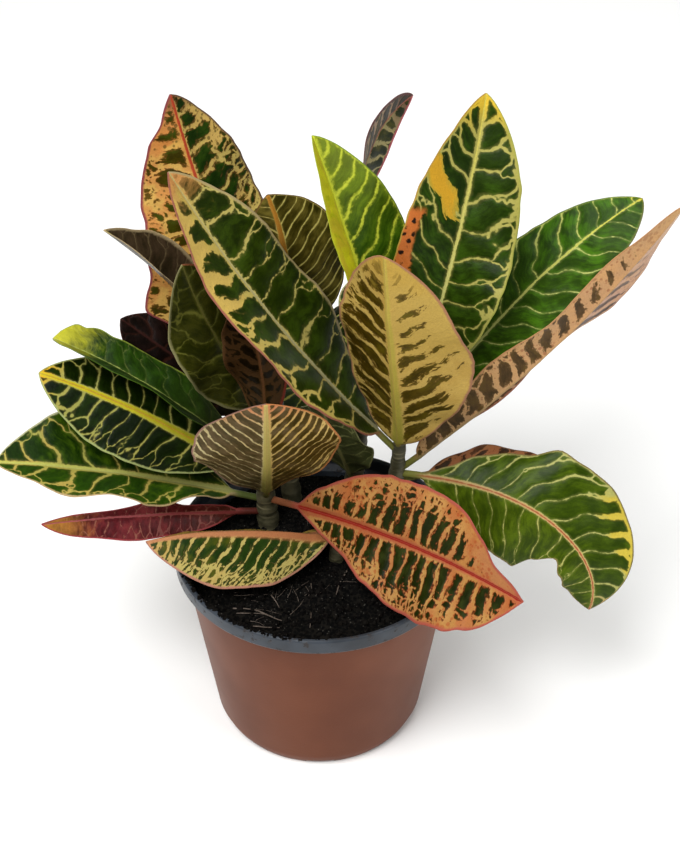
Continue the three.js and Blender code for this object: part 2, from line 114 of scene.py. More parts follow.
# factors on the half width at shares of the blade's length, for the halves as in FACE below
EVEN = ((0, 1), (1, 1))
BROAD_TIP = ((0, 1), (0.75, 1), (0.88, 1.5), (0.96, 2.4), (1, 3))
MARGINS = {
    "back_left_leaf_1": (((0, 1), (0.5, 1.05), (0.75, 1.12), (0.9, 1.15), (1, 1.2)),
                         ((0, 1), (0.12, 1.1), (0.28, 1.38), (0.42, 1.1), (0.6, 1), (0.85, 1),
                          (0.92, 0.72), (1, 0.65))),
    "back_left_leaf_2": (EVEN, ((0, 1), (0.8, 1), (0.9, 0.8), (1, 0.7))),
    "back_left_leaf_5": (EVEN, ((0, 1), (0.3, 1.4), (0.9, 1.5), (1, 1.2))),
    "right_leaf_3": (((0, 1), (0.7, 1), (0.85, 1.25), (1, 1.6)),
                     ((0, 0.2), (0.45, 0.2), (0.55, 0.6), (0.68, 1.6), (0.82, 2.6), (1, 3.2))),
    "right_leaf_5": (((0, 1), (0.5, 1.05), (1, 1.08)), ((0, 1), (0.5, 1.06), (1, 1.1))),
    "right_leaf_6": (((0, 1), (0.5, 1.12), (1, 1.12)), EVEN),
    "right_leaf_7": (((0, 1), (0.55, 1.02), (0.62, 0.7), (0.68, 0.42), (0.76, 0.6), (0.88, 0.8),
                      (1, 1)),
                     ((0, 0.4), (0.1, 0.5), (0.2, 0.72), (0.36, 0.8), (0.45, 1.05), (0.9, 1.12),
                      (1, 1.1))),
    "front_left_leaf_2": (BROAD_TIP, BROAD_TIP),
    "front_left_leaf_4": (((0, 1), (0.5, 1), (0.7, 1.25), (1, 1.2)),
                          ((0, 1), (0.2, 0.7), (0.3, 0.9), (0.4, 1), (0.6, 0.88), (0.75, 1),
                           (1, 1))),
    "front_left_leaf_5": (((0, 1), (0.7, 0.92), (1, 1)),
                          ((0, 1), (0.3, 0.7), (0.42, 1), (0.6, 0.6), (1, 0.6))),
    "front_left_leaf_7": (((0, 1), (0.1, 0.8), (0.28, 0.72), (0.4, 0.85), (0.55, 1), (0.7, 1.12),
                           (0.82, 1.35), (0.92, 1.7), (1, 2)),
                          ((0, 1), (0.06, 1.35), (0.15, 1.1), (0.5, 1), (0.7, 1), (0.8, 0.85),
                           (0.88, 0.6), (1, 0.8))),
}
USUAL = dict(widest=0.52, point=0.75, bend_power=1.4, waves=2.5, spacing=9.0, lean=(0.5, 0.5))
MEASURES = ("z", "heading", "rise", "bend", "sweep", "roll", "stalk", "blade", "width", "fold",
            "wave")


def pair(value):
    """Both halves' values, where one value may stand for both."""
    return value if isinstance(value, tuple) else (value, value)


# ---- node helpers ---------------------------------------------------------------------------------


def put(tree, socket, value):
    """Feeds a socket from another one, or sets its value."""
    if isinstance(value, bpy.types.NodeSocket):
        tree.links.new(value, socket)
    else:
        socket.default_value = value


def reckon(tree, what, first, second=0.0, third=0.0):
    made = tree.nodes.new("ShaderNodeMath")
    made.operation = what
    for socket, value in zip(made.inputs, (first, second, third)):
        put(tree, socket, value)
    return made.outputs[0]


def rise_between(tree, value, low, high):
    """0 below low, 1 above high and a soft step between them."""
    made = tree.nodes.new("ShaderNodeMapRange")
    made.interpolation_type = "SMOOTHSTEP"
    for socket, number in zip(made.inputs, (value, low, high, 0.0, 1.0)):
        put(tree, socket, number)
    return made.outputs[0]


def blend(tree, share, first, second, way="MIX"):
    made = tree.nodes.new("ShaderNodeMix")
    made.data_type = "RGBA"
    made.blend_type = way
    put(tree, made.inputs[0], share)
    put(tree, made.inputs[6], first)
    put(tree, made.inputs[7], second)
    return made.outputs[2]


def scaled(tree, place, size):
    """A place measured in steps of the given size."""
    made = tree.nodes.new("ShaderNodeMapping")
    put(tree, made.inputs[0], place)
    made.inputs["Scale"].default_value = size
    return made.outputs[0]


def grain(tree, place, scale, detail=2.0, rough=0.5):
    made = tree.nodes.new("ShaderNodeTexNoise")
    put(tree, made.inputs["Vector"], place)
    made.inputs["Scale"].default_value = scale
    made.inputs["Detail"].default_value = detail
    made.inputs["Roughness"].default_value = rough
    return made.outputs[0]


def cells(tree, place, scale, feature="F1"):
    made = tree.nodes.new("ShaderNodeTexVoronoi")
    made.feature = feature
    put(tree, made.inputs["Vector"], place)
    made.inputs["Scale"].default_value = scale
    return made.outputs[0]


def two_tone(tree, value, low, high, first, second):
    """The first colour where the value is low, the second where it is high."""
    return blend(tree, rise_between(tree, value, low, high), first, second)


def relief(tree, height, depth, strength=0.5):
    made = tree.nodes.new("ShaderNodeBump")
    made.inputs["Strength"].default_value = strength
    made.inputs["Distance"].default_value = depth
    put(tree, made.inputs["Height"], height)
    return made.outputs[0]


def feed(shader, **sources):
    """Links a shader's sockets, named with _ for a space, to what drives them."""
    for name, source in sources.items():
        put(shader.id_data, shader.inputs[name.replace("_", " ")], source)


def object_place(tree):
    return tree.nodes.new("ShaderNodeTexCoord").outputs["Object"]


def new_material(name, roughness=0.5, **settings):
    """A material with its shader; the settings are the shader's own even values."""
    made = bpy.data.materials.new(name)
    made.use_nodes = True
    shader = made.node_tree.nodes["Principled BSDF"]
    shader.inputs["Roughness"].default_value = roughness
    for key, value in settings.items():
        shader.inputs[key.replace("_", " ")].default_value = value
    return made, made.node_tree, shader


# ---- the leaf's pattern ---------------------------------------------------------------------------
# Colours are six hex digits. A pair is for the two halves of the blade: the first is the half on
# the midrib's right when one looks from the stalk to the tip at the upper face. In LOOKS, one value
# stands for both halves.
FACE = dict(
    green=("2f4414", "2f4414"),  # the islands between the veins
    fresh="4a6420",  # a lighter green in patches
    fresh_share=0.5,
    vein=("b9b45a", "b9b45a"),  # the veins and the net between the islands
    second="c07a3c",  # another tone of the net, in patches
    second_share=(0.0, 0.0),
    pale=0.12,  # how much paler a thin vein is than the open ground
    tip="c9b040",  # the net's colour at the tip
    tip_from=0.93,  # share of the length where it begins
    wash=0.0,  # how much the tip's colour covers the green too
    wash_from=0.7,  # share of the length where that begins
    rib=("a9a862", "b8b45c"),  # midrib band at the stalk and at the tip
    rib_mm=2.0,  # its width at the stalk
    line="a84a30",  # narrow line along the middle of the midrib
    line_mm=0.0,  # its width
    edge=("a9a070", "a9a070"),  # line along the margin
    edge_mm=0.7,  # its width
    open=(0.08, 0.08),  # share of a vein's spacing that isn't green, to each side
    open_tip=(0.0, 0.0),  # added towards the tip
    open_rim=(0.0, 0.0),  # added towards the margin
    net=0.5,  # how much cross veins show
    stray=0.38,  # how far the side veins stray from their even places
    fork=0.55,  # share of the way to the margin at which a side vein forks
    border=0.4,  # millimetres of the margin that aren't green
    dashes=0.0,  # how much fine lines along the side veins break up the green
    dash_mm=1.6,  # width of those lines
    spacing=9.0,  # millimetres between side veins
    ragged=0.12,  # how jagged the islands are
    soft=0.028,  # how softly they end
    vary=0.12,  # how much the open ground varies over the blade
    uneven=0.6,  # how much the veins differ in width
    cell=9.0,  # millimetres between cross veins
    halo=0.18,  # how much the green beside a vein takes on the tone of the net
    halo_tone="6c2410",  # and a tone of its own for it
    halo_own=0.0,  # how much that tone counts
    spots=0.0,  # how much the open ground is spotted
    spot="3a2412",
    patch=(0.0, 0.0, 1.0, 1.0),  # a patch's place across and along, and its reach
    patch_open=0.0,  # how much wider the net is there
    patch_tone="cfae3c",
    strip=(2.0, 0.3, 0.6),  # a strip along the margin: from this far out, from and to this share
    strip_tone="b8602c",
    stalk="6a6a30",  # the stalk's colour
    painted_shade=0.25,  # how much painted shade darkens the blade towards the stalk, where shade falls among the stems
    blade=100.0,  # the blade's length in millimetres
    seed=0.0,  # makes each blade's pattern its own
)
THIN_VEIN = "b4b070"
DEEP_GREEN = (0.5, 0.56, 0.45, 1.0)  # factors on the green in its deeper patches
# near-black colour of the painted shade on a blade near its stalk
PAINTED_STALK_SHADE = (0.012, 0.014, 0.004, 1.0)


def leaf_face_nodes():
    """The pattern of a leaf's face as a node group, read from the maps that follow the blade."""
    tree = bpy.data.node_groups.new("croton_leaf_face", "ShaderNodeTree")
    for key, value in FACE.items():
        several = value if isinstance(value, tuple) else (value,)
        for i, one in enumerate(several):
            name = key if len(several) == 1 else f"{key} {i}"
            kind = "NodeSocketColor" if isinstance(one, str) else "NodeSocketFloat"
            tree.interface.new_socket(name, in_out="INPUT", socket_type=kind)
    for name, kind in (("Colour", "Color"), ("Roughness", "Float"), ("Height", "Float")):
        tree.interface.new_socket(name, in_out="OUTPUT", socket_type="NodeSocket" + kind)
    given = tree.nodes.new("NodeGroupInput").outputs
    results = tree.nodes.new("NodeGroupOutput").inputs

    def sum_of(what):
        return lambda *numbers: reckon(tree, what, *numbers)

    add, less, times, over = map(sum_of, ("ADD", "SUBTRACT", "MULTIPLY", "DIVIDE"))
    times_add, size_of = sum_of("MULTIPLY_ADD"), sum_of("ABSOLUTE")
    greater, smaller = sum_of("MAXIMUM"), sum_of("MINIMUM")
    power, rounded_least = sum_of("POWER"), sum_of("SMOOTH_MIN")

    def one_less(value):
        return less(1.0, value)

    def step(value, low, high):
        return rise_between(tree, value, low, high)

    def tone(share, first, second, way="MIX"):
        return blend(tree, share, first, second, way)

    def split_map(name):
        source = tree.nodes.new("ShaderNodeUVMap")
        source.uv_map = name
        parts = tree.nodes.new("ShaderNodeSeparateXYZ")
        tree.links.new(source.outputs[0], parts.inputs[0])
        return parts.outputs[0], parts.outputs[1]

    def place_of(x, y, z):
        made = tree.nodes.new("ShaderNodeCombineXYZ")
        for socket, value in zip(made.inputs, (x, y, z)):
            put(tree, socket, value)
        return made.outputs[0]

    def of_halves(name):
        """The value of a pair at this half of the blade."""
        differs = less(given[name + " 1"], given[name + " 0"])
        return times_add(differs, half, given[name + " 0"])

    lie_x, lie_y = split_map("lie")
    vein_x, vein_y = split_map("vein")
    across = times(lie_x, 100.0)  # millimetres from the midrib
    along = times(lie_y, 100.0)  # millimetres from the blade's foot
    share = over(along, given["blade"])
    out = size_of(vein_y)
    half = step(vein_y, -0.02, 0.02)
    seed = times(given["seed"], 37.0)
    here = place_of(across, along, seed)
    fine = less(grain(tree, here, 0.55, 3.0, 0.6), 0.5)
    middle = less(grain(tree, here, 0.13, 2.0), 0.5)
    wide = less(grain(tree, here, 0.045, 2.0), 0.5)

    # distance to the nearest vein, in shares of the side veins' spacing: a side vein forks on its
    # way out, and its branches meet those of its neighbours near the margin
    count = add(vein_x, times(middle, given["stray"]))
    along_veins = place_of(over(times(count, given["spacing"]), given["dash_mm"]),
                           times(across, 0.22), seed)
    streaks = less(grain(tree, along_veins, 1.0, 3.0, 0.6), 0.5)
    to_vein = size_of(less(sum_of("FRACT")(add(count, 0.5)), 0.5))
    parting = step(times_add(middle, 1.1, out), given["fork"], add(given["fork"], 0.5))
    to_vein = size_of(times_add(parting, -0.5, to_vein))
    rows = over(across, given["cell"])
    net_place = place_of(times(count, 1.2), add(rows, middle), given["seed"])
    net_cells = cells(tree, net_place, 1.0, "DISTANCE_TO_EDGE")
    net_here = times(given["net"], step(add(out, wide), 0.15, 0.75))
    to_cross = add(net_cells, times(one_less(net_here), 0.5))
    field = rounded_least(to_vein, to_cross, 0.1)
    rib_half = times(given["rib_mm"], times_add(share, -0.34, 0.5))
    beside_rib = over(less(size_of(across), rib_half), given["spacing"])
    field = rounded_least(field, add(beside_rib, given["open 0"]), 0.08)
    rim = times(size_of(across), over(one_less(out), greater(out, 0.05)))
    inside_rim = over(less(rim, given["border"]), given["spacing"])
    field = rounded_least(field, add(inside_rim, given["open 0"]), 0.1)
    broken = times_add(streaks, given["dashes"], times(given["dashes"], -0.1))
    field = add(field, broken)
    field = times_add(add(fine, streaks), given["ragged"], field)

    unlike = less(grain(tree, place_of(times(count, 0.8), half, seed), 1.0, 0.0), 0.5)
    width = times_add(unlike, times(given["uneven"], 4.0), 1.0)
    width = greater(width, 0.25)
    openness = times(of_halves("open"), width)
    openness = times(openness, times_add(out, -0.5, 1.2))
    openness = times_add(power(greater(share, 0.0), 3.0), of_halves("open_tip"), openness)
    openness = times_add(power(out, 3.0), of_halves("open_rim"), openness)
    openness = times_add(wide, given["vary"], openness)
    foot = over(times(count, given["spacing"]), given["blade"])
    patch_x = over(less(vein_y, given["patch 0"]), given["patch 2"])
    patch_y = over(less(foot, given["patch 1"]), given["patch 3"])
    reach = sum_of("SQRT")(add(power(patch_x, 2.0), power(patch_y, 2.0)))
    reach = add(reach, add(times(middle, 0.7), times(streaks, 0.7)))
    in_patch = one_less(step(reach, 0.55, 1.05))
    openness = times_add(in_patch, given["patch_open"], openness)
    low = less(openness, given["soft"])
    high = add(openness, given["soft"])
    island = step(field, low, high)
    beside = one_less(step(field, low, add(high, 0.1)))

    # colours, from the ground of the net up to the line of the margin
    net = tone(half, given["vein 0"], given["vein 1"])
    second = times(step(grain(tree, here, 0.085, 3.0, 0.6), 0.42, 0.6), of_halves("second_share"))
    net = tone(second, net, given["second"])
    thin = one_less(step(openness, 0.06, 0.2))
    net = tone(times(thin, given["pale"]), net, colour(THIN_VEIN))
    net = tone(times(in_patch, step(given["patch_open"], 0.0, 0.05)), net, given["patch_tone"])
    near_tip = step(times_add(middle, 0.12, share), given["tip_from"], 1.0)
    net = tone(near_tip, net, given["tip"])
    fleck_cells = cells(tree, here, 0.42)
    flecks = one_less(step(less(fleck_cells, wide), 0.16, 0.34))
    net = tone(times(flecks, given["spots"]), net, given["spot"])
    green = tone(half, given["green 0"], given["green 1"])
    light = step(add(add(wide, middle), times(streaks, 0.6)), -0.1, 0.35)
    green = tone(times(light, given["fresh_share"]), green, given["fresh"])
    deep = tone(1.0, green, DEEP_GREEN, "MULTIPLY")
    green = tone(step(add(middle, streaks), -0.3, 0.25), deep, green)
    halo = tone(given["halo_own"], net, given["halo_tone"])
    green = tone(times(beside, given["halo"]), green, halo)
    face = tone(island, net, green)
    washed = step(times_add(add(middle, streaks), 0.2, share), given["wash_from"], 1.0)
    face = tone(times(washed, given["wash"]), face, given["tip"])

    ragged_out = times_add(middle, 0.3, vein_y)
    in_strip = times(step(ragged_out, given["strip 0"], add(given["strip 0"], 0.08)),
                     times(step(share, given["strip 1"], add(given["strip 1"], 0.04)),
                           one_less(step(share, given["strip 2"], add(given["strip 2"], 0.03)))))
    pits = step(add(cells(tree, here, 0.3), fine), 0.22, 0.42)
    face = tone(in_strip, face, tone(pits, given["spot"], given["strip_tone"]))

    from_rib = add(size_of(across), times(fine, 0.9))
    on_rib = one_less(step(from_rib, times(rib_half, 0.6), times(rib_half, 1.25)))
    rib = tone(smaller(greater(share, 0.0), 1.0), given["rib 0"], given["rib 1"])
    face = tone(on_rib, face, rib)
    line_half = times(given["line_mm"], times_add(share, -0.2, 0.5))
    on_line = one_less(step(from_rib, times(line_half, 0.6), add(line_half, 0.2)))
    on_line = times(on_line, step(given["line_mm"], 0.0, 0.05))
    face = tone(on_line, face, given["line"])

    rim = times_add(fine, 1.2, rim)
    on_edge = one_less(step(rim, times(given["edge_mm"], 0.4), times(given["edge_mm"], 1.4)))
    edge = tone(half, given["edge 0"], given["edge 1"])
    face = tone(on_edge, face, edge)
    face = tone(one_less(step(along, -4.0, 4.0)), face, given["stalk"])
    # painted shade: the blade is painted darker towards its stalk, where shade falls among the stems
    painted_shade = times(given["painted_shade"], one_less(step(share, 0.0, 0.55)))
    face = tone(painted_shade, face, PAINTED_STALK_SHADE)
    mottle = times_add(grain(tree, here, 1.6, 2.0), 0.4, 0.8)
    face = tone(1.0, face, place_of(mottle, mottle, mottle), "MULTIPLY")
    put(tree, results["Colour"], face)

    gloss = times_add(add(fine, middle), 0.16, 0.4)
    put(tree, results["Roughness"], times_add(island, -0.05, gloss))
    height = times(step(field, 0.0, 0.22), 0.6)
    height = times_add(cells(tree, here, 1.6), 0.12, height)
    height = times_add(fine, 0.5, height)
    put(tree, results["Height"], height)
    return tree


LEAF_FACE = leaf_face_nodes()


def leaf_material(name, looks):
    """A leaf face's material; looks holds what differs from FACE."""
    made, tree, shader = new_material(name, 0.4, Specular_IOR_Level=0.07)
    pattern = tree.nodes.new("ShaderNodeGroup")
    pattern.node_tree = LEAF_FACE
    for key, usual in FACE.items():
        value = looks.get(key, usual)
        several = pair(value) if isinstance(usual, tuple) else (value,)
        for i, one in enumerate(several):
            socket = pattern.inputs[f"{key} {i}" if isinstance(usual, tuple) else key]
            socket.default_value = colour(one) if isinstance(one, str) else one
    feed(shader, Base_Color=pattern.outputs["Colour"], Roughness=pattern.outputs["Roughness"],
         Normal=relief(tree, pattern.outputs["Height"], 0.0005, 0.35))
    return made


# ---- leaf shapes ----------------------------------------------------------------------------------
STALK_ROWS = 8
ACROSS = 28  # faces across the blade
ROW_MM = 1.35  # length of a row of faces
CURVE_STEPS = 96  # pieces in which a midrib's curve is added up
BLADE_HALF = 0.25  # half the blade's thickness
STALK_HALF_WIDTH = 1.6
STALK_HALF_THICKNESS = 1.3
TIP_HALF_WIDTH = 0.35
QUILT = 0.34  # how high the blade bulges between its side veins
FURROW, FURROW_WIDTH = 0.16, 0.6  # depth and width of the furrow over a side vein
RIB_WIDTH, RIB_FURROW, RIB_KEEL = 1.25, 0.22, 0.95  # the midrib: sunken above, standing out below
SLACK = 0.7  # how far the blade is off its even shape
CROWDING = 0.62  # how much narrower the faces get towards the margin
UNEVEN_MARGIN = 0.03  # share of the half width by which the margin strays
STALK_START = 0.6  # where a stalk starts inside its stem, as a share of the stem's radius


def stem_point(stem, z):
    share = (z - stem["foot"][2]) / (stem["top"][2] - stem["foot"][2])
    return Vector([mix(stem["foot"][i], stem["top"][i], share) for i in (0, 1)] + [z])


def directions(leaf, t):
    """The midrib's direction and the blade's side and upward directions at share t."""
    rise = math.radians(leaf["rise"] + leaf["bend"] * t ** leaf["bend_power"])
    heading = math.radians(leaf["heading"] + leaf["sweep"] * t)
    roll = math.radians(leaf["roll"])
    along = Vector((math.cos(rise) * math.cos(heading), math.cos(rise) * math.sin(heading),
                    math.sin(rise)))
    level = Vector((-math.sin(heading), math.cos(heading), 0))
    normal = along.cross(level)
    side = level * math.cos(roll) + normal * math.sin(roll)
    up = normal * math.cos(roll) - level * math.sin(roll)
    return along, side, up


def outline(leaf, b):
    """Share of the greatest half width at share b of the blade's length."""
    q, w = leaf["point"], leaf["widest"]
    p = q * w / (1 - w)
    return (b ** p * (1 - b) ** q) / (w ** p * (1 - w) ** q)


def margin_factor(knots, b):
    """Factor on the half width at share b of the blade's length."""
    i = next(k for k in range(1, len(knots)) if knots[k][0] >= min(b, 1.0))
    (start, low), (end, high) = knots[i - 1], knots[i]
    return mix(low, high, smooth(start, end, b))


def side_vein_count(leaf, across, along, out, right):
    """Counts the side veins from the foot, so that a vein runs wherever this is a whole number."""
    wobble = 0.16 * math.sin(0.11 * along + leaf["seed"])
    wobble += 0.1 * math.sin(0.23 * along + 0.3 * across)
    lean = leaf["lean"][0 if right else 1]
    foot = along - lean * across * (1 + 0.45 * out)
    return foot / leaf["spacing"] + (0.5 if right else 0.0) + wobble


def leaf_piece(name, index):
    """A leaf with its stalk, and the two maps that its pattern is read from."""
    numbers = LEAVES[name]
    leaf = {**USUAL, **dict(zip(MEASURES, numbers)), **numbers[-1], "seed": float(index)}
    leaf["spacing"] = LOOKS[name].get("spacing", leaf["spacing"])
    leaf["lean"] = pair(LOOKS[name].get("lean", leaf["lean"]))
    stem = STEMS[name.rsplit("_leaf_", 1)[0]]
    margins = MARGINS.get(name, (EVEN, EVEN))
    length = leaf["stalk"] + leaf["blade"]
    blade_rows = round(leaf["blade"] / ROW_MM)
    rows = STALK_ROWS + blade_rows
    rib = [stem_point(stem, leaf["z"])]
    for i in range(CURVE_STEPS):
        rib.append(rib[-1] + directions(leaf, (i + 0.5) / CURVE_STEPS)[0] * (length / CURVE_STEPS))
    up_stem = (leaf["z"] - SOIL_LEVEL) / (stem["top"][2] - SOIL_LEVEL)
    start = STALK_START * mix(*stem["radius"], up_stem)

    bm = bmesh.new()
    place = bm.verts.layers.float_vector.new("place")
    lie = bm.loops.layers.uv.new("lie")
    vein = bm.loops.layers.uv.new("vein")
    bmesh.ops.create_grid(bm, x_segments=ACROSS, y_segments=rows, size=1.0)
    for vert in bm.verts:
        x, s = abs(vert.co.x), (vert.co.y + 1) / 2
        out = x - CROWDING * math.sin(TURN * x) / TURN
        vert[place] = (math.copysign(out, vert.co.x), s, -1.0)
    grown = bmesh.ops.extrude_face_region(bm, geom=bm.faces[:])["geom"]
    for item in grown:
        if isinstance(item, bmesh.types.BMVert):
            item[place] = (item[place][0], item[place][1], 1.0)

    table = {}
    for vert in bm.verts:
        key = round(vert[place][1] * rows)
        if key in table:
            continue
        b = max(0.0, (key - STALK_ROWS) / blade_rows)
        if key < STALK_ROWS:
            distance = mix(start, leaf["stalk"], key / STALK_ROWS)
        else:
            distance = leaf["stalk"] + leaf["blade"] * b
        t = distance / length
        step = min(int(t * CURVE_STEPS), CURVE_STEPS - 1)
        centre = rib[step].lerp(rib[step + 1], t * CURVE_STEPS - step)
        _, side, up = directions(leaf, t)
        on_stalk = max(0.0, 1 - b * 8)
        even = leaf["width"] / 2 * outline(leaf, b) if 0 < b < 1 else 0.0
        least = mix(TIP_HALF_WIDTH, STALK_HALF_WIDTH, on_stalk)
        halves = [max(even * margin_factor(knots, b), least) for knots in margins]
        table[key] = (centre, side, up, halves, on_stalk, b, distance - leaf["stalk"])

    seed = index * 7.3
    spots = {}
    for vert in bm.verts:
        v, s, face = vert[place]
        centre, side, up, halves, on_stalk, b, along = table[round(s * rows)]
        a = abs(v)
        half = halves[0 if v < 0 else 1]
        if on_stalk > 0:
            v = mix(v, math.sin(math.pi / 2 * v), on_stalk)
        stray = noise.noise(Vector((along * 0.16, seed, math.copysign(3, v))))
        rim = 1 + UNEVEN_MARGIN * stray * a
        across = v * half * rim
        fold = math.radians(leaf["fold"]) * (1 - on_stalk)
        ends = min(1.0, 4 * b * (1 - b))
        swing = math.sin(TURN * leaf["waves"] * b + (2.1 if v < 0 else 0))
        wave = leaf["wave"] * swing * a * a * ends
        wave += SLACK * ends * noise.noise(Vector((across * 0.05, along * 0.05, seed)))
        count = side_vein_count(leaf, abs(across), along, a, v < 0)
        between = 0.5 - 0.5 * math.cos(TURN * count)
        crossways = min(1.0, 6 * a * (1 - a)) * ends
        off_vein = abs(count - round(count)) * leaf["spacing"]
        furrow = FURROW * math.exp(-(off_vein / FURROW_WIDTH) ** 2) * crossways
        middle = math.exp(-(across / RIB_WIDTH) ** 2) * (1 - on_stalk) * (1 - 0.6 * b)
        thin = BLADE_HALF * (1 - 0.45 * a * a)
        stalk = STALK_HALF_THICKNESS * math.sqrt(max(0.0, 1 - v * v))
        if face > 0:
            thick = thin - RIB_FURROW * middle - furrow
        else:
            thick = -(thin + RIB_KEEL * (1 - 0.5 * b) * middle + 0.8 * furrow)
        thick = mix(thick, math.copysign(stalk, face) + math.copysign(0.08, face), on_stalk)
        lift = a * half * math.sin(fold) + wave + QUILT * between * crossways
        vert.co = centre + side * (across * math.cos(fold)) + up * (lift + thick)
        spots[vert] = (across, along, v, a)

    for face in bm.faces:
        sides = {vert[place][2] for vert in face.verts}
        face.material_index = 1 if sides == {-1.0} else 0
        face.smooth = True
        right = sum(vert[place][0] for vert in face.verts) < 0
        for loop in face.loops:
            across, along, v, a = spots[loop.vert]
            loop[lie].uv = (across * 0.01, along * 0.01)
            loop[vein].uv = (side_vein_count(leaf, abs(across), along, a, right), v)
    bm.verts.layers.float_vector.remove(place)
    bmesh.ops.scale(bm, vec=(MM, MM, MM), verts=bm.verts)
    bmesh.ops.recalc_face_normals(bm, faces=bm.faces)
    return finish_piece(bm, name.replace("leaf", "blade"))


def placed(name, data):
    """A new object with the given shape, light or camera, in the scene."""
    made = bpy.data.objects.new(name, data)
    bpy.context.scene.collection.objects.link(made)
    return made


def shape_of(bm, name):
    mesh = bpy.data.meshes.new(name)
    bm.to_mesh(mesh)
    bm.free()
    return placed(name, mesh)


def finish_piece(bm, name):
    """Makes a piece of the plant's body from a finished shape."""
    made = shape_of(bm, name)
    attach(made, "root")
    return made


def rounded_look(bm):
    """Has all faces shaded as one curved surface."""
    for face in bm.faces:
        face.smooth = True
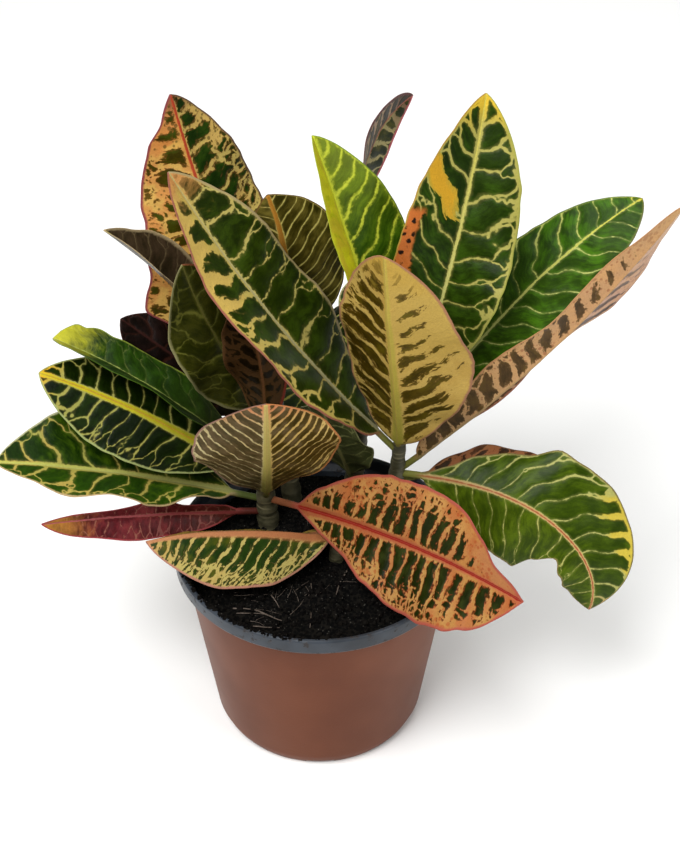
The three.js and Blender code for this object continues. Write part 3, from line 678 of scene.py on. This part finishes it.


# ---- what each leaf looks like --------------------------------------------------------------------
# in some looks the blade is painted darker towards its stalk, as painted shade
LOOKS = {
    "back_left_leaf_1": dict(
        green=("1a3005", "3a3204"), fresh="304809", vein=("b49c50", "c09448"), second="b4522a",
        second_share=(0.2, 0.5), tip="7a4a34", tip_from=0.9, rib=("b0703a", "b4502c"), rib_mm=3.4,
        line="a43c20", line_mm=1.8, edge=("5c4434", "7c3a3c"), edge_mm=1.2, open=(0.035, 0.15),
        open_tip=(0.05, 0.02), net=1.0, fork=0.6, border=1.0, dashes=0.24, dash_mm=1.3, spacing=9.6,
        ragged=0.24, vary=0.2, uneven=0.4, cell=8.0, halo=0.45, halo_tone="7c3414", halo_own=0.8,
        spots=0.7, spot="3c3812", lean=(0.15, 0.25)),
    "back_left_leaf_2": dict(
        green=("403422", "463626"), fresh="5a4a34", vein="66563c", pale=0.0, tip="2c2218",
        edge="a08c68", edge_mm=1.3, open=0.025, spacing=8.0),
    "back_left_leaf_3": dict(
        green=("303006", "36380a"), fresh="50501a", fresh_share=0.3, vein=("60602a", "6c6c2c"),
        pale=0.0, tip="54561c", rib=("4c4c1c", "5c5c26"), rib_mm=1.4, edge=("70422a", "7c7850"),
        edge_mm=1.2, open=0.02, net=0.8, stray=0.3, fork=0.4, spacing=13.0, soft=0.06, lean=(0.5, 0.6)),
    "back_left_leaf_4": dict(
        green="100806", fresh="1c0e0a", vein="241009", pale=0.0, tip="160a08", rib=("1c0c0a", "2a1410"),
        edge="30130f", open=0.05),
    "back_left_leaf_5": dict(
        green=("443c10", "3e360c"), fresh="786c2c", vein=("a0904c", "b0a254"), tip="8a7038",
        rib=("80581c", "946420"), rib_mm=5.0, edge="5c4220", open=(0.05, 0.06), net=0.2, fork=1.5,
        border=0.8, spacing=6.0, lean=0.6),
    "back_left_leaf_6": dict(
        green="141f02", fresh="223005", vein="2f3c12", open=0.04),
    "back_left_leaf_7": dict(
        green="1c2c03", fresh="344805", vein="8a8a34", rib=("8c8c4a", "a09a3c"), rib_mm=2.2, open=0.05,
        net=0.7, spacing=11.0),
    "back_left_leaf_8": dict(
        green=("2a1c0c", "30200e"), fresh="4a3418", vein=("a0502c", "a8602c"), rib=("a03c28", "a84c30"),
        rib_mm=3.0, edge="8a3a38", edge_mm=1.2, open=0.1, dashes=0.3, spacing=8.0, lean=0.4),
    "back_left_leaf_9": dict(
        green="203004", fresh="3c5007", vein="a09a3c", rib=("9a9848", "b8a838"), rib_mm=2.4, open=0.09,
        open_tip=0.2, net=0.8, border=1.0, spacing=9.5, lean=0.45),
    "right_leaf_1": dict(
        green=("202c02", "223002"), fresh="344809", vein=("98893f", "ae9844"), second="a88438",
        second_share=0.3, pale=0.3, tip="b07a44", tip_from=0.9, wash=0.6, wash_from=0.86,
        rib=("8c8c6c", "a89c60"), rib_mm=2.4, edge=("94845c", "8a5444"), edge_mm=1.3,
        open=(0.014, 0.022), open_tip=(0.06, 0.14), open_rim=(0.02, 0.09), net=0.6, stray=0.45,
        fork=0.66, border=0.8, dashes=0.05, spacing=12.8, ragged=0.17, vary=0.16, uneven=0.8, cell=11.0,
        halo=0.12, patch=(0.75, 0.75, 0.6, 0.3), patch_open=0.1, patch_tone="b89c50", lean=(0.0, 0.35)),
    "right_leaf_2": dict(
        green=("402f04", "483806"), fresh="5e540c", vein=("a88a44", "b0924a"), second="9c7a34",
        second_share=0.4, pale=0.15, tip="aa8a3c", tip_from=0.82, wash=0.7, wash_from=0.8,
        rib=("8e8434", "a89440"), rib_mm=6.0, edge=("9c7050", "94684c"), edge_mm=1.2, open=(0.07, 0.09),
        open_tip=(0.05, 0.12), open_rim=(0.0, 0.3), net=0.8, fork=0.72, border=1.6, dashes=0.32,
        dash_mm=1.5, spacing=10.5, ragged=0.3, vary=0.3, uneven=0.4, cell=12.0, halo=0.3,
        halo_tone="7a4a14", halo_own=0.6, patch=(0.6, 0.72, 0.8, 0.42), patch_open=0.14,
        patch_tone="a88c44", lean=(0.05, 0.6)),
    "right_leaf_3": dict(
        green=("523a1e", "523420"), fresh="5c4a18", vein=("b48a60", "b88c70"), second="c0905c",
        second_share=0.5, pale=0.1, tip="bc9464", wash=0.6, wash_from=0.75, rib=("94805a", "b88c5c"),
        edge=("a87c54", "8a5844"), open=(0.075, 0.08), open_tip=0.5, fork=0.7, dashes=0.3, ragged=0.3,
        vary=0.2, spots=0.55, spot="7c4028", lean=0.42),
    "right_leaf_4": dict(
        green=("2e4808", "2e4a08"), fresh="406c0a", fresh_share=0.7, vein=("a8b060", "a4ac54"),
        pale=0.2, tip="c0b034", tip_from=0.95, rib=("a4b078", "c0b83c"), rib_mm=1.5,
        edge=("56582a", "4a6420"), open=(0.009, 0.016), open_rim=(0.0, 0.03), net=0.15, fork=1.1,
        spacing=11.5, soft=0.03, vary=0.1, uneven=0.8, cell=11.0, lean=(0.5, 0.6)),
    "right_leaf_5": dict(
        green=("223404", "1e3004"), fresh="33500c", vein=("88802c", "8c8430"), pale=0.35, tip="c4a430",
        tip_from=0.86, rib=("a8ac74", "b8ac48"), rib_mm=1.7, edge=("8c8c40", "9c7c34"),
        open=(0.009, 0.003), open_tip=(0.1, 0.16), open_rim=(0.08, 0.0), border=0.3, spacing=11.5,
        vary=0.08, uneven=0.8, cell=6.0, spot="1c0c04", patch=(0.75, 0.6, 0.75, 0.055), patch_open=0.7,
        patch_tone="b88c24", strip=(0.66, 0.38, 0.6), strip_tone="b0622c", lean=(0.25, 0.75)),
    "right_leaf_6": dict(
        green=("304c08", "bcba0c"), fresh="4c6a0c", vein=("b2ba38", "c0bc1c"), second="b4982c",
        second_share=(0.0, 0.6), pale=0.0, tip="98a028", wash=0.3, wash_from=0.55,
        rib=("b8b830", "b0b82c"), rib_mm=3.0, edge=("6c8028", "98a028"), open=(0.03, 0.5),
        open_tip=(0.06, 0.0), net=0.15, fork=1.3, spacing=10.0, ragged=0.3, soft=0.09, vary=0.08,
        uneven=0.4, lean=(0.7, 0.3)),
    "right_leaf_7": dict(
        green=("3c4c06", "344604"), fresh="50640c", vein=("98964a", "94944e"), pale=0.3, tip="b08c5c",
        rib=("9c8454", "bc8c60"), rib_mm=2.6, line="94502f", line_mm=0.6, edge="74683c", open=0.009,
        open_tip=(0.0, 0.05), open_rim=(0.0, 0.06), net=0.35, stray=0.3, fork=0.78, border=0.2,
        vary=0.06, cell=10.0, patch=(0.85, 0.62, 0.35, 0.2), patch_open=0.1, patch_tone="b8a43c",
        lean=(0.35, 0.5)),
    "right_leaf_8": dict(
        green="3c2412", fresh="6a3c1c", vein="945c38", rib="8a6038", edge="6a3c24", open=0.2,
        dashes=0.3, ragged=0.3),
    "front_left_leaf_1": dict(
        green="160d03", fresh="241a0a", vein=("38240f", "3a2612"), pale=0.0, rib=("4e331a", "54361c"),
        edge=("6c281c", "4c331c"), edge_mm=1.4, open=0.17, net=1.0, fork=0.3, dashes=0.3, spacing=7.0,
        ragged=0.3, vary=0.2, cell=5.0, spots=0.5),
    "front_left_leaf_2": dict(
        green=("1e3604", "1c3403"), fresh="2c4c08", vein="2c440a", pale=0.1, tip="b4b02c", tip_from=0.9,
        wash=0.85, wash_from=0.76, rib=("7c8a40", "a4ac5c"), rib_mm=1.2, edge=("7c8a30", "3c5610"),
        open=0.012, net=0.3, spacing=11.0, vary=0.05, painted_shade=0.99),
    "front_left_leaf_3": dict(
        green=("101c01", "0c1801"), fresh="1e3004", vein=("8c8c44", "78782c"), second="94842c",
        second_share=0.4, pale=0.25, tip="c4981c", tip_from=0.88, rib=("8a8a24", "b8a81c"), rib_mm=5.4,
        line="a8801c", line_mm=0.8, edge="8c945c", edge_mm=0.9, open=(0.03, 0.024), open_tip=0.06,
        stray=0.25, fork=0.5, spacing=7.6, ragged=0.14, cell=8.0, lean=(0.2, 0.3)),
    "front_left_leaf_4": dict(
        green=("182e02", "244004"), fresh="405809", fresh_share=0.7, vein=("84802f", "9c9038"),
        second="b48038", second_share=0.35, pale=0.2, tip="a49c4c", rib=("8c8c50", "a4a44c"),
        rib_mm=4.2, edge=("a0a07c", "a89068"), edge_mm=1.0, open=(0.03, 0.045), open_tip=0.03, net=0.6,
        fork=0.6, spacing=12.0, vary=0.14, stalk="4a5428", lean=(0.45, 0.35)),
    "front_left_leaf_5": dict(
        green=("54161c", "5c1a1e"), fresh="78302f", vein=("702c32", "74343a"), pale=0.1, tip="a8742c",
        tip_from=0.8, wash=0.8, wash_from=0.72, rib=("742a2e", "945050"), edge="8a3438", open=0.02,
        net=0.0, spacing=5.0, ragged=0.3, vary=0.3, halo=0.1, patch=(-0.6, 0.3, 0.6, 0.25),
        patch_open=0.04, patch_tone="74403c", stalk="541c1c", painted_shade=0.4, lean=0.1),
    "front_left_leaf_6": dict(
        green=("54442a", "4c3a12"), fresh="64543a", fresh_share=0.7, vein=("b0a078", "b89858"),
        second="a8782c", second_share=0.3, pale=0.2, tip="b4744c", tip_from=0.8,
        rib=("8e8840", "ac9a58"), rib_mm=5.4, edge=("7c5c50", "a86c40"), edge_mm=0.9, open=(0.01, 0.04),
        open_tip=0.1, open_rim=0.04, net=0.6, fork=0.85, dashes=0.1, spacing=6.4, ragged=0.24, vary=0.1,
        uneven=0.8, cell=8.0, painted_shade=0.6, lean=(0.8, 1.0)),
    "front_left_leaf_7": dict(
        green=("1c2202", "1e2402"), fresh="38401a", fresh_share=0.4, vein=("9c6a34", "a4703a"),
        second="963c1e", second_share=(0.6, 0.55), pale=0.15, tip="984c32", rib=("8c4c2c", "a0583a"),
        rib_mm=6.0, line="7c1c12", line_mm=2.0, edge="94483a", edge_mm=1.5, open=(0.06, 0.09),
        open_tip=(0.12, 0.2), open_rim=(0.0, 0.06), net=1.0, fork=0.7, border=1.8, dashes=0.36,
        dash_mm=1.3, spacing=6.8, ragged=0.34, vary=0.2, cell=3.6, halo=0.75, halo_tone="7c2810",
        halo_own=0.9, spots=0.5, spot="8c3416", patch=(0.62, 0.95, 0.7, 0.24), patch_open=0.35,
        patch_tone="a0683e", stalk="7c4a30", painted_shade=0.1, lean=(0.1, 0.2)),
    "back_right_leaf_1": dict(
        green=("242c08", "2c2410"), fresh="645c10", vein=("9c9060", "a08068"), tip="6a4438",
        tip_from=0.8, rib=("94503c", "a0644c"), rib_mm=1.8, edge=("b4545c", "5c3430"), edge_mm=1.6,
        open=(0.12, 0.06), dashes=0.2, spacing=8.0, ragged=0.3, vary=0.3),
    "back_right_leaf_2": dict(
        green="1a2a03", fresh="304405", vein="a8a044", rib=("a4a060", "b8b050"), rib_mm=2.2, open=0.07,
        net=0.8, spacing=11.0, lean=0.4),
    "back_right_leaf_3": dict(
        green=("262c04", "2a2c04"), fresh="4c4c08", vein=("b08c3c", "b88c34"), rib=("a4703c", "b47c3c"),
        rib_mm=2.8, edge="9c5038", edge_mm=1.2, open=0.13, open_tip=0.2, net=0.8, dashes=0.25,
        spacing=8.5, lean=0.4),
    "back_right_leaf_4": dict(
        green="223805", fresh="3c5808", vein="7c8c34", rib=("90984c", "a0a044"), rib_mm=1.6, open=0.03,
        net=0.4, spacing=11.0),
    "back_right_leaf_5": dict(
        green=("40462a", "3a4022"), fresh="4a5420", vein="8a9058", rib="a09c60", rib_mm=1.6,
        edge="7c7c50", open=0.05, painted_shade=0.4),
    "middle_leaf_1": dict(
        green=("1c3005", "20340a"), fresh="54500a", vein=("a08438", "988440"), second="9c6a30",
        second_share=0.4, pale=0.3, tip="b07c54", rib=("965c38", "a4704c"), rib_mm=9.5,
        edge=("946444", "9c6c58"), edge_mm=1.1, open=(0.2, 0.05), open_tip=(0.1, 0.08), net=1.0,
        fork=0.6, border=1.2, dashes=0.36, dash_mm=1.3, spacing=5.6, ragged=0.34, vary=0.2, cell=4.0,
        halo=0.4, halo_tone="5c2c10", halo_own=0.8),
}


# leaves that turn their lower face to the front, where it looks just as LOOKS says
LOWER_FACE_FRONT = ("right_leaf_2", "right_leaf_3", "front_left_leaf_5", "front_left_leaf_6",
                    "back_left_leaf_2", "back_left_leaf_5", "back_right_leaf_1")
DULL_GREEN, DULL_SHARE = "6c6c44", 0.45


def dulled(text):
    parts = [(int(text[i:i + 2], 16), int(DULL_GREEN[i:i + 2], 16)) for i in (0, 2, 4)]
    return "".join(f"{round(mix(a, b, DULL_SHARE)):02x}" for a, b in parts)


def underside(looks):
    """The paler, duller face below, with a midrib band a millimetre broader."""
    made = dict(looks)
    for key, value in {**FACE, **looks}.items():
        if isinstance(value, str):
            made[key] = dulled(value)
        elif isinstance(value, tuple) and isinstance(value[0], str):
            made[key] = tuple(dulled(one) for one in value)
    made["rib_mm"] = looks.get("rib_mm", FACE["rib_mm"]) + 1.0
    return made


# ---- pot, soil and stems --------------------------------------------------------------------------
FOOT_RADIUS, NECK_RADIUS = 49, 60.7  # of the wall's outside, below and at the rim band
FOOT_TOP = 7  # height at which the wall starts
DRAIN_HOLES, DRAIN_RADIUS, DRAIN_CIRCLE = 8, 4, 30.5
NOTCH_CIRCLE, NOTCH = 46, (12, 13, 4.4)  # the cuts through the ring foot: outwards, along, up


def inner_radius(z):
    """Radius of the pot's inside at height z."""
    return mix(FOOT_RADIUS, NECK_RADIUS, max(0.0, (z - FOOT_TOP) / 83.5)) - WALL


def pot_profile():
    """Radius and height along the pot's section, from under its floor to above it."""
    return [(0, 0), (20, 0), (21, 3.2), (40, 3.2), (41, 0), (45.5, 0), (47.1, 2.4),
            (FOOT_RADIUS, FOOT_TOP), (NECK_RADIUS, RIM_FOOT), (64.4, 90.5), (65, 91.5), (65, 97.2),
            (64.4, RIM_TOP), (63.2, RIM_TOP), (62.6, 97.2), (62.2, 91.9),
            (inner_radius(RIM_FOOT), RIM_FOOT), (inner_radius(10), 10), (45, 5), (19.5, 4.8),
            (18.5, 1.6), (0, 1.6)]


def lathed(profile, steps):
    """A closed body turned from a profile of radius and height."""
    bm = bmesh.new()
    chain = [bm.verts.new((r * MM, 0, z * MM)) for r, z in profile]
    edges = [bm.edges.new(ends) for ends in zip(chain, chain[1:])]
    bmesh.ops.spin(bm, geom=chain + edges, axis=(0, 0, 1), cent=(0, 0, 0), angle=TURN, steps=steps,
                   use_merge=True)
    bmesh.ops.remove_doubles(bm, verts=bm.verts, dist=1e-6)
    bmesh.ops.recalc_face_normals(bm, faces=bm.faces)
    return bm


def pot_body():
    """The pot with its drain holes and the notches in its foot; its rim and inside are grey."""
    made = finish_piece(lathed(pot_profile(), 144), "nursery_pot")
    cutters = bmesh.new()
    for i in range(DRAIN_HOLES):
        turn = TURN * (i + 0.5) / DRAIN_HOLES
        place = (DRAIN_CIRCLE * MM * math.cos(turn), DRAIN_CIRCLE * MM * math.sin(turn), 0)
        bmesh.ops.create_cone(cutters, cap_ends=True, segments=24, radius1=DRAIN_RADIUS * MM,
                              radius2=DRAIN_RADIUS * MM, depth=20 * MM,
                              matrix=Matrix.Translation(place))
        place = Matrix.Rotation(TURN * i / DRAIN_HOLES, 4, "Z")
        place = place @ Matrix.Translation((NOTCH_CIRCLE * MM, 0, 0))
        bmesh.ops.create_cube(cutters, size=1.0, matrix=place @ Matrix.Diagonal(
            [side * MM for side in NOTCH] + [1]))
    cutter = shape_of(cutters, "cuts")
    cut = made.modifiers.new("holes", "BOOLEAN")
    cut.operation, cut.solver, cut.object = "DIFFERENCE", "EXACT", cutter
    soften = made.modifiers.new("rounding", "BEVEL")
    soften.width, soften.segments, soften.limit_method = 0.35 * MM, 2, "ANGLE"
    soften.angle_limit = math.radians(28)
    graph = bpy.context.evaluated_depsgraph_get()
    finished = bpy.data.meshes.new_from_object(made.evaluated_get(graph))
    made.modifiers.clear()
    made.data = finished
    bpy.data.objects.remove(cutter)
    for face in made.data.polygons:
        face.use_smooth = True
        centre = face.center
        outwards = face.normal.x * centre.x + face.normal.y * centre.y
        inward = outwards < -0.3 * math.hypot(centre.x, centre.y)
        grey = centre.z > (RIM_FOOT + 0.4) * MM or (inward and centre.z > 8 * MM)
        face.material_index = 1 if grey else 0
    made.data.set_sharp_from_angle(angle=math.radians(32))
    return made


def terracotta_plastic():
    made, tree, shader = new_material("terracotta_plastic", 0.46, Specular_IOR_Level=0.1)
    here = object_place(tree)
    cloudy = grain(tree, here, 22.0, 3.0)
    streaks = grain(tree, scaled(tree, here, (90.0, 90.0, 8.0)), 1.0, 2.0)
    tone = two_tone(tree, cloudy, 0.35, 0.7, colour("683519"), colour("5c2d14"))
    tone = blend(tree, reckon(tree, "MULTIPLY", streaks, 0.12), tone, colour("7a4a34"))
    tone = two_tone(tree, cells(tree, here, 620.0), 0.0, 0.12, colour("40231a"), tone)
    feed(shader, Base_Color=tone, Roughness=reckon(tree, "MULTIPLY_ADD", cloudy, 0.16, 0.36),
         Normal=relief(tree, grain(tree, here, 900.0, 2.0), 0.0002, 0.16))
    return made


def grey_plastic():
    made, tree, shader = new_material("grey_plastic", 0.42, Specular_IOR_Level=0.3)
    here = object_place(tree)
    cloudy = grain(tree, here, 60.0, 3.0)
    tone = two_tone(tree, cloudy, 0.3, 0.7, colour("23272c"), colour("363c44"))
    dust = rise_between(tree, grain(tree, here, 260.0, 4.0, 0.7), 0.56, 0.66)
    tone = blend(tree, reckon(tree, "MULTIPLY", dust, 0.7), tone, colour("2a2018"))
    feed(shader, Base_Color=tone, Roughness=reckon(tree, "MULTIPLY_ADD", dust, 0.3, 0.38),
         Normal=relief(tree, dust, 0.0004, 0.4))
    return made


def soil_height(x, y):
    """Height of the peat's surface, in millimetres."""
    bump = math.sin(x * 0.21 + 1) * math.cos(y * 0.17) + 0.5 * math.sin(x * 0.1 - y * 0.33)
    lumps = noise.noise(Vector((x * 0.16, y * 0.16, 2.0))) * 1.6
    lumps += noise.noise(Vector((x * 0.45, y * 0.45, 7.0))) * 1.0
    lumps += noise.noise(Vector((x * 1.1, y * 1.1, 11.0))) * 0.5
    return SOIL_LEVEL + 1.2 * bump + lumps


def surface_height(x, y):
    """The same, but level beside the wall."""
    return mix(soil_height(x, y), PEAT_EDGE, smooth(50, 58, math.hypot(x, y)))


def peat_bed():
    """The peat that fills the pot."""
    def reach(z):
        return inner_radius(z) - 0.4
    profile = [(0, 1.9), (17.6, 1.9), (18.6, 5.2), (43.5, 5.4), (reach(11.2), 11.2),
               (reach(45), 45), (reach(87), 87)]
    rings = 48
    profile += [(reach(SOIL_LEVEL) * (1 - i / rings), SOIL_LEVEL) for i in range(1, rings + 1)]
    bm = lathed(profile, 180)
    for vert in bm.verts:
        if vert.co.z > 87.5 * MM:
            vert.co.z = surface_height(vert.co.x / MM, vert.co.y / MM) * MM
    rounded_look(bm)
    return finish_piece(bm, "peat_bed")


BED_CRUMBS, RIM_CRUMBS = 1020, 160


def crumb_pile():
    """Loose crumbs of peat on the bed and on the rim."""
    rng = random.Random(11)
    bm = bmesh.new()
    for i in range(BED_CRUMBS + RIM_CRUMBS):
        if i < BED_CRUMBS:
            r, turn = 57 * math.sqrt(rng.random()), rng.random() * TURN
            x, y = r * math.cos(turn), r * math.sin(turn)
            z, size = surface_height(x, y), rng.choice((0.5, 0.7, 0.9, 1.3, 1.9))
        else:
            r, turn = rng.uniform(62.6, 64.6), math.radians(rng.gauss(232, 17))
            x, y = r * math.cos(turn), r * math.sin(turn)
            z, size = RIM_TOP, rng.uniform(0.3, 1.0)
        made = bmesh.ops.create_icosphere(bm, subdivisions=1, radius=size * MM)["verts"]
        for vert in made:
            vert.co *= rng.uniform(0.6, 1.2)
        bmesh.ops.rotate(bm, verts=made, matrix=Matrix.Rotation(rng.random() * TURN, 3, (
            rng.random(), rng.random(), rng.random())))
        bmesh.ops.translate(bm, verts=made, vec=Vector((x, y, z + 0.25 * size)) * MM)
    return finish_piece(bm, "peat_crumbs")


def tube(bm, points, radii, sides):
    """A closed tube through points, in millimetres."""
    rings = []
    for i, point in enumerate(points):
        ahead = points[min(i + 1, len(points) - 1)] - points[max(i - 1, 0)]
        turn = ahead.normalized().to_track_quat("Z", "Y").to_matrix().to_4x4()
        ring = bmesh.ops.create_circle(bm, segments=sides, radius=radii[i] * MM,
                                       matrix=Matrix.Translation(point * MM) @ turn)["verts"]
        rings.append({edge for vert in ring for edge in vert.link_edges})
    for first, second in zip(rings, rings[1:]):
        bmesh.ops.bridge_loops(bm, edges=list(first | second))
    for end in (rings[0], rings[-1]):
        bmesh.ops.edgeloop_fill(bm, edges=list(end))


# x and y of both ends, and thickness, of the pale strands that lie straight on the peat
STRANDS = ((13, -10.5, 5.5, -27.4, 0.5), (-37.7, -34.2, -26, -37, 0.42),
           (-28, -36.4, -14.8, -42.1, 0.5), (-28.7, -45.6, -15.6, -47.1, 0.36),
           (-3.3, -18.2, -2.9, -25.9, 0.26), (-3.4, -37.3, -3, -48.5, 0.24),
           (-22, -24.3, -16.6, -34.6, 0.4), (26, -22, 33, -31, 0.2), (-36, -37.5, -20, -40, 0.24))
# x, y and the range of headings, where the shoots' fine roots come up
ROOT_FEET = ((-34, -34, (-20, 30)), (6, -8, (230, 290)), (-10, -30, (40, 100)),
             (14, -36, (60, 130)))
LOOSE_FIBRES = 32
STRAND_STEPS = 9
THREAD_REACH = 54  # distance from the pot's axis that no thread passes


def strand(bm, rng, x, y, heading, length, thick, bend):
    """One root or fibre on the peat, ending at the pot's wall at the latest."""
    points = []
    for _ in range(STRAND_STEPS):
        if math.hypot(x, y) > THREAD_REACH:
            break
        around = [soil_height(x + dx, y + dy) for dx in (-2.5, 0, 2.5) for dy in (-2.5, 0, 2.5)]
        points.append(Vector((x, y, sum(around) / len(around) + 0.8)))
        x += math.cos(heading) * length / STRAND_STEPS
        y += math.sin(heading) * length / STRAND_STEPS
        heading += bend + rng.uniform(-0.06, 0.06)
    if len(points) > 3:
        tube(bm, points, [thick * (1 - 0.6 * i / len(points)) for i in range(len(points))], 5)


def root_threads():
    """Pale roots and fibres that lie on the peat."""
    rng = random.Random(5)
    bm = bmesh.new()
    for x, y, far_x, far_y, thick in STRANDS:
        dx, dy = far_x - x, far_y - y
        strand(bm, rng, x, y, math.atan2(dy, dx), math.hypot(dx, dy), thick, 0)
    for i in range(LOOSE_FIBRES):
        if i % 2:
            r, turn = 52 * math.sqrt(rng.random()), rng.random() * TURN
            x, y, heading = r * math.cos(turn), r * math.sin(turn), rng.random() * TURN
        else:
            foot = ROOT_FEET[i % len(ROOT_FEET)]
            x, y = foot[0] + rng.uniform(-9, 9), foot[1] + rng.uniform(-9, 9)
            heading = math.radians(rng.uniform(*foot[2]))
        length, thick, bend = rng.uniform(4, 13), rng.uniform(0.07, 0.16), rng.uniform(-0.1, 0.1)
        strand(bm, rng, x, y, heading, length, thick, bend)
    rounded_look(bm)
    bmesh.ops.recalc_face_normals(bm, faces=bm.faces)
    return finish_piece(bm, "root_threads")


def peat_material(name, dark, light, grit_tone):
    made, tree, shader = new_material(name, 0.95, Specular_IOR_Level=0.06)
    here = object_place(tree)
    clumps = grain(tree, here, 240.0, 4.0, 0.7)
    grit = cells(tree, here, 700.0)
    tone = two_tone(tree, clumps, 0.42, 0.72, colour(dark), colour(light))
    tone = two_tone(tree, grit, 0.45, 0.75, tone, colour(grit_tone))
    tone = two_tone(tree, cells(tree, here, 480.0), 0.1, 0.17, colour("3c3a35"), tone)
    feed(shader, Base_Color=tone, Normal=relief(tree, clumps, 0.0016, 0.9))
    return made


STEM_STEPS = 60
ROOTED, TIP_BUD = 20, 3  # how far a shoot goes on below its foot and above its top


def stem_piece(name):
    """A shoot, from inside the peat to its round tip."""
    stem = STEMS[name]
    foot, top = stem["foot"][2], stem["top"][2]
    bm = bmesh.new()
    points, radii = [], []
    for i in range(STEM_STEPS + 1):
        z = mix(foot - ROOTED, top + TIP_BUD, i / STEM_STEPS)
        share = min(1.0, max(0.0, (z - foot) / (top - foot)))
        radius = mix(*stem["radius"], share)
        radius *= 1 + 0.05 * math.sin(z * 0.9) + 0.05 * noise.noise(Vector((z * 0.3, foot, top)))
        if z > top:
            radius *= 1 - 0.75 * ((z - top) / TIP_BUD) ** 2
        points.append(stem_point(stem, z))
        radii.append(radius)
    tube(bm, points, radii, 24)
    for vert in bm.verts:
        wobble = noise.noise(vert.co * 260) * 0.3 * MM
        centre = stem_point(stem, vert.co.z / MM) * MM
        vert.co += (vert.co - centre).normalized() * wobble
    rounded_look(bm)
    bmesh.ops.recalc_face_normals(bm, faces=bm.faces)
    return finish_piece(bm, name + "_shoot")


def bark_material():
    made, tree, shader = new_material("green_bark", 0.6)
    here = object_place(tree)
    patches = grain(tree, here, 180.0, 3.0)
    rings = grain(tree, scaled(tree, here, (60.0, 60.0, 900.0)), 1.0, 2.0)
    tone = two_tone(tree, patches, 0.35, 0.65, colour("2e2c18"), colour("4a4630"))
    tone = two_tone(tree, rings, 0.55, 0.75, tone, colour("6a644a"))
    feed(shader, Base_Color=tone, Normal=relief(tree, rings, 0.0006, 0.5))
    return made


# ---- putting the plant together -------------------------------------------------------------------
for index, name in enumerate(LEAVES):
    common = dict(blade=float(LEAVES[name][MEASURES.index("blade")]), seed=index + 0.5)
    looks = {key: value for key, value in LOOKS[name].items() if key in FACE}
    blade = leaf_piece(name, index)
    blade.data.materials.append(leaf_material(name + "_upper", {**looks, **common}))
    under = looks if name in LOWER_FACE_FRONT else underside(looks)
    blade.data.materials.append(leaf_material(name + "_under", {**under, **common}))
    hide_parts(name)

bark = bark_material()
for name in STEMS:
    shoot = stem_piece(name)
    shoot.data.materials.append(bark)
    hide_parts(name + "_stem")

pot = pot_body()
pot.data.materials.append(terracotta_plastic())
pot.data.materials.append(grey_plastic())
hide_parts("pot")

peat = peat_material("peat", "030303", "090807", "13110e")
bed = peat_bed()
bed.data.materials.append(peat)
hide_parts("soil")
crumbs = crumb_pile()
crumbs.data.materials.append(peat_material("peat_crumb", "040303", "120f0c", "13110e"))
threads = root_threads()
threads.data.materials.append(peat_material("root_skin", "4c423a", "7c7066", "5a5048"))

# ---- floor, light and camera ----------------------------------------------------------------------
bm = bmesh.new()
bmesh.ops.create_grid(bm, x_segments=4, y_segments=4, size=4.0)
floor = shape_of(bm, "floor")
paper, tree, shader = new_material("pale_floor", 0.9)
tone = blend(tree, grain(tree, object_place(tree), 3.0), colour("f4f4f2"), colour("f8f8f7"))
feed(shader, Base_Color=tone)
floor.data.materials.append(paper)


FOCAL_LENGTH, LONG_SIDE, SENSOR = 1765, 850, 36  # the first two in pixels of the photo
CAMERA_PLACE, CAMERA_AIM = (0, -596.94, 632.60), (10, 0, 164)
LIGHT_AIM = (0.0, 0.0, 0.12)  # metres
SKY = 0.22


def facing(direction):
    """The turn with which a camera or a light looks in a direction."""
    return direction.to_track_quat("-Z", "Y").to_euler()


def soft_light(name, place, size, power):
    """A round light; its place and size are in metres."""
    data = bpy.data.lights.new(name, "AREA")
    data.shape, data.size, data.energy = "DISK", size, power
    light = placed(name, data)
    light.location = place
    light.rotation_euler = facing(Vector(LIGHT_AIM) - Vector(place))


soft_light("key", (-0.6, -0.8, 1.6), 1.2, 40)
soft_light("fill", (1.2, -0.9, 1.1), 1.0, 10)
soft_light("top", (0.2, 0.7, 1.7), 1.0, 12)

world = bpy.data.worlds.new("studio")
world.use_nodes = True
sky = world.node_tree.nodes["Background"].inputs
sky["Color"].default_value, sky["Strength"].default_value = (1.0, 1.0, 1.0, 1.0), SKY
bpy.context.scene.world = world
bpy.context.scene.view_settings.view_transform = "Standard"

camera_data = bpy.data.cameras.new("camera")
camera_data.lens = FOCAL_LENGTH / LONG_SIDE * SENSOR
camera_data.sensor_width = SENSOR
camera = placed("camera", camera_data)
camera.location = Vector(CAMERA_PLACE) * MM
camera.rotation_euler = facing(Vector(CAMERA_AIM) * MM - camera.location)
bpy.context.scene.camera = camera
